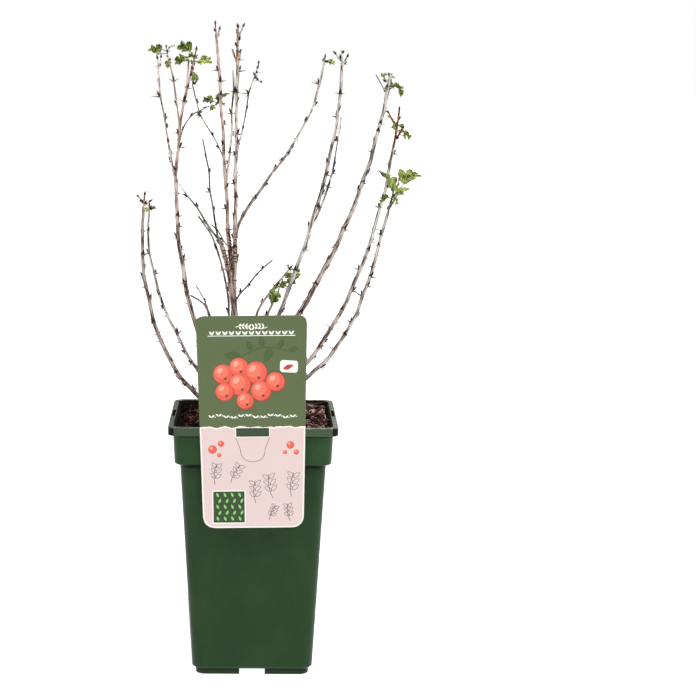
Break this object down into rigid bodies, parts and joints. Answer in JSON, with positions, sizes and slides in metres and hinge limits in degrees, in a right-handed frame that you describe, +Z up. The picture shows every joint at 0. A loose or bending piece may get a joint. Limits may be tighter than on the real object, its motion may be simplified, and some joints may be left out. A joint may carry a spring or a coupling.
{
  "type": "gooseberry bush in a pot",
  "caption": "Young thorny gooseberry bush in early spring, bare arching stems with a few leaves at the tips, in a tall square green pot with a hang card.",
  "frame": {"origin": "on the floor, under the middle of the square pot", "axes": "+Z up along the pot's axis, +X to the right seen from the card's side, -Y towards the card"},
  "size_m": [0.2175, 0.1817, 0.5046],
  "materials": {
    "pot_plastic": "satin injection moulded",
    "mulch": "moist bark mulch and peat",
    "card": "printed plastic card, satin",
    "bark": "pale papery bark",
    "twig_bark": "thin grey-brown bark",
    "tip_twigs": "young bark with buds",
    "foliage": "soft matt leaf"
  },
  "bodies": {
    "root": {"back_left_shoot": "twig_bark", "back_right_bough": "bark", "back_right_tuft": "foliage", "centre_side_tuft": "tip_twigs", "centre_side_twig": "twig_bark", "centre_stem": "bark", "centre_tuft": "tip_twigs", "diagonal_shoot": "twig_bark", "front_right_fork": "twig_bark", "front_right_spur": "twig_bark", "front_right_stem": "bark", "front_right_tuft": "tip_twigs", "hang_card": "card", "high_left_stem": "bark", "high_left_tuft": "foliage", "hooked_tuft": "foliage", "hooked_twig": "twig_bark", "inner_left_stem": "bark", "inner_left_tuft": "foliage", "inner_right_stem": "bark", "inner_right_tuft": "foliage", "knuckle_spur": "bark", "leafy_back_spur": "bark", "leafy_back_tuft": "foliage", "leafy_front_spur": "twig_bark", "leafy_front_tuft": "foliage", "left_fork": "twig_bark", "left_fork_tuft": "foliage", "low_back_twig": "twig_bark", "low_front_twig": "twig_bark", "low_left_stem": "bark", "low_left_tuft": "tip_twigs", "middle_back_tuft": "tip_twigs", "middle_back_twig": "twig_bark", "middle_right_stem": "bark", "middle_right_tuft": "foliage", "middle_side_twig": "twig_bark", "middle_stem": "bark", "middle_tuft": "tip_twigs", "outer_left_fork": "twig_bark", "outer_left_tuft": "tip_twigs", "outer_right_stem": "bark", "outer_right_tuft": "foliage", "pot": "pot_plastic", "short_spur": "twig_bark", "slim_shoot": "twig_bark", "soil": "mulch", "trunk": "bark"}
  },
  "joints": []
}
